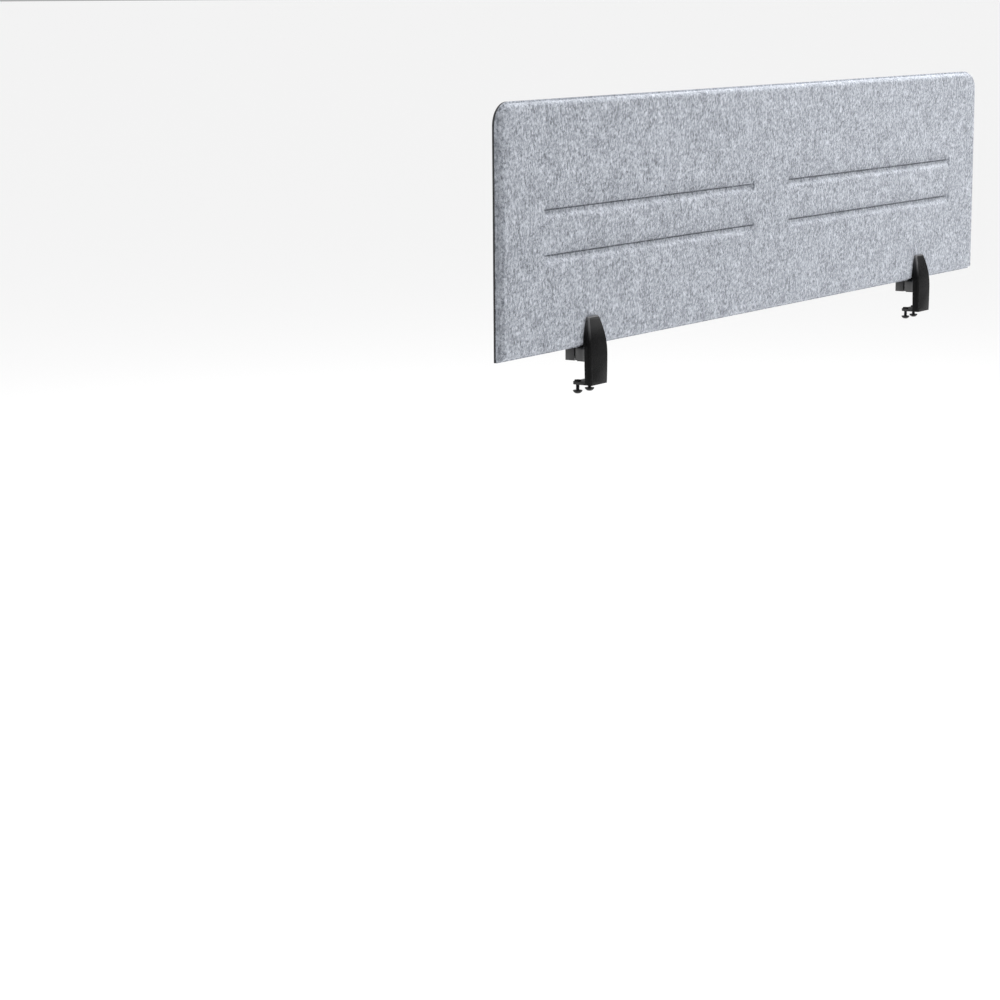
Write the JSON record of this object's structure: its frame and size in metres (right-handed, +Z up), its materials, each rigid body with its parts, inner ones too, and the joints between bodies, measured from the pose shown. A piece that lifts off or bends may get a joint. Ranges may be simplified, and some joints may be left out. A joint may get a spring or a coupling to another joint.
{
  "type": "desk privacy panel",
  "caption": "Low moulded felt screen that stands along the back edge of a desk, held by black clamps with thumb screws under the desktop.",
  "frame": {"origin": "on the desk's upper rear edge, half-way between the two clamps", "axes": "+X along the desk edge, +Y from the edge over the desktop towards the sitter, +Z up"},
  "size_m": [1.39, 0.0432, 0.3933],
  "materials": {
    "felt": "melange polyester felt",
    "board": "dense charcoal felt board",
    "black_nylon": "satin moulded nylon",
    "knob_nylon": "satin moulded nylon",
    "black_steel": "black powder coat",
    "black_oxide_steel": "black oxide",
    "zinc_steel": "zinc plated",
    "rubber": "soft grip"
  },
  "bodies": {
    "panel": {"felt_face": "felt", "backing_board": "board"},
    "left_clamp": {"left_bracket": "black_steel", "left_outer_cover": "black_nylon", "left_outer_grip_pad": "rubber", "left_arm_block": "black_nylon", "left_desktop_pad": "rubber", "left_cover_screws": "zinc_steel", "left_arm_screws": "zinc_steel", "left_guide_pins": "zinc_steel", "left_draw_nut": "zinc_steel"},
    "left_jaw": {"left_inner_jaw": "black_nylon", "left_inner_grip_pad": "rubber"},
    "left_bolt": {"left_draw_bolt": "black_oxide_steel", "left_retaining_ring": "zinc_steel"},
    "left_pad_a": {"left_pressure_pad_a": "rubber"},
    "left_screw_a": {"left_screw_stem_a": "black_oxide_steel", "left_screw_knob_a": "knob_nylon"},
    "left_pad_b": {"left_pressure_pad_b": "rubber"},
    "left_screw_b": {"left_screw_stem_b": "black_oxide_steel", "left_screw_knob_b": "knob_nylon"},
    "right_clamp": {"right_bracket": "black_steel", "right_outer_cover": "black_nylon", "right_outer_grip_pad": "rubber", "right_arm_block": "black_nylon", "right_desktop_pad": "rubber", "right_cover_screws": "zinc_steel", "right_arm_screws": "zinc_steel", "right_guide_pins": "zinc_steel", "right_draw_nut": "zinc_steel"},
    "right_jaw": {"right_inner_jaw": "black_nylon", "right_inner_grip_pad": "rubber"},
    "right_bolt": {"right_draw_bolt": "black_oxide_steel", "right_retaining_ring": "zinc_steel"},
    "right_pad_a": {"right_pressure_pad_a": "rubber"},
    "right_screw_a": {"right_screw_stem_a": "black_oxide_steel", "right_screw_knob_a": "knob_nylon"},
    "right_pad_b": {"right_pressure_pad_b": "rubber"},
    "right_screw_b": {"right_screw_stem_b": "black_oxide_steel", "right_screw_knob_b": "knob_nylon"}
  },
  "joints": [
    {"name": "left_clamp_slide", "type": "slide", "parent": "panel", "child": "left_clamp", "axis": [1, 0, 0], "range_m": [-0.15, 0.15]},
    {"name": "left_jaw_slide", "type": "slide", "parent": "left_clamp", "child": "left_jaw", "axis": [0, 1, 0], "range_m": [0, 0.005]},
    {"name": "left_bolt_turn", "type": "hinge", "parent": "left_jaw", "child": "left_bolt", "pos_m": [-0.487, 0.0265, 0.01], "axis": [0, 1, 0], "range_deg": [0, 2260]},
    {"name": "left_pad_a_slide", "type": "slide", "parent": "left_clamp", "child": "left_pad_a", "axis": [0, 0, 1], "range_m": [-0.0004, 0.0064]},
    {"name": "left_screw_a_turn", "type": "hinge", "parent": "left_pad_a", "child": "left_screw_a", "pos_m": [-0.5015, 0.015, -0.031], "axis": [0, 0, 1], "range_deg": [-190, 2890]},
    {"name": "left_pad_b_slide", "type": "slide", "parent": "left_clamp", "child": "left_pad_b", "axis": [0, 0, 1], "range_m": [-0.0004, 0.0064]},
    {"name": "left_screw_b_turn", "type": "hinge", "parent": "left_pad_b", "child": "left_screw_b", "pos_m": [-0.4725, 0.015, -0.031], "axis": [0, 0, 1], "range_deg": [-190, 2890]},
    {"name": "right_clamp_slide", "type": "slide", "parent": "panel", "child": "right_clamp", "axis": [1, 0, 0], "range_m": [-0.15, 0.15]},
    {"name": "right_jaw_slide", "type": "slide", "parent": "right_clamp", "child": "right_jaw", "axis": [0, 1, 0], "range_m": [0, 0.005]},
    {"name": "right_bolt_turn", "type": "hinge", "parent": "right_jaw", "child": "right_bolt", "pos_m": [0.487, 0.0265, 0.01], "axis": [0, 1, 0], "range_deg": [0, 2260]},
    {"name": "right_pad_a_slide", "type": "slide", "parent": "right_clamp", "child": "right_pad_a", "axis": [0, 0, 1], "range_m": [-0.0004, 0.0064]},
    {"name": "right_screw_a_turn", "type": "hinge", "parent": "right_pad_a", "child": "right_screw_a", "pos_m": [0.4725, 0.015, -0.031], "axis": [0, 0, 1], "range_deg": [-190, 2890]},
    {"name": "right_pad_b_slide", "type": "slide", "parent": "right_clamp", "child": "right_pad_b", "axis": [0, 0, 1], "range_m": [-0.0004, 0.0064]},
    {"name": "right_screw_b_turn", "type": "hinge", "parent": "right_pad_b", "child": "right_screw_b", "pos_m": [0.5015, 0.015, -0.031], "axis": [0, 0, 1], "range_deg": [-190, 2890]}
  ],
  "couplings": [
    {"joint": "left_bolt_turn", "follows": "left_jaw_slide", "rad_per_m": 7854},
    {"joint": "left_screw_a_turn", "follows": "left_pad_a_slide", "rad_per_m": 7854},
    {"joint": "left_screw_b_turn", "follows": "left_pad_b_slide", "rad_per_m": 7854},
    {"joint": "right_bolt_turn", "follows": "right_jaw_slide", "rad_per_m": 7854},
    {"joint": "right_screw_a_turn", "follows": "right_pad_a_slide", "rad_per_m": 7854},
    {"joint": "right_screw_b_turn", "follows": "right_pad_b_slide", "rad_per_m": 7854}
  ]
}
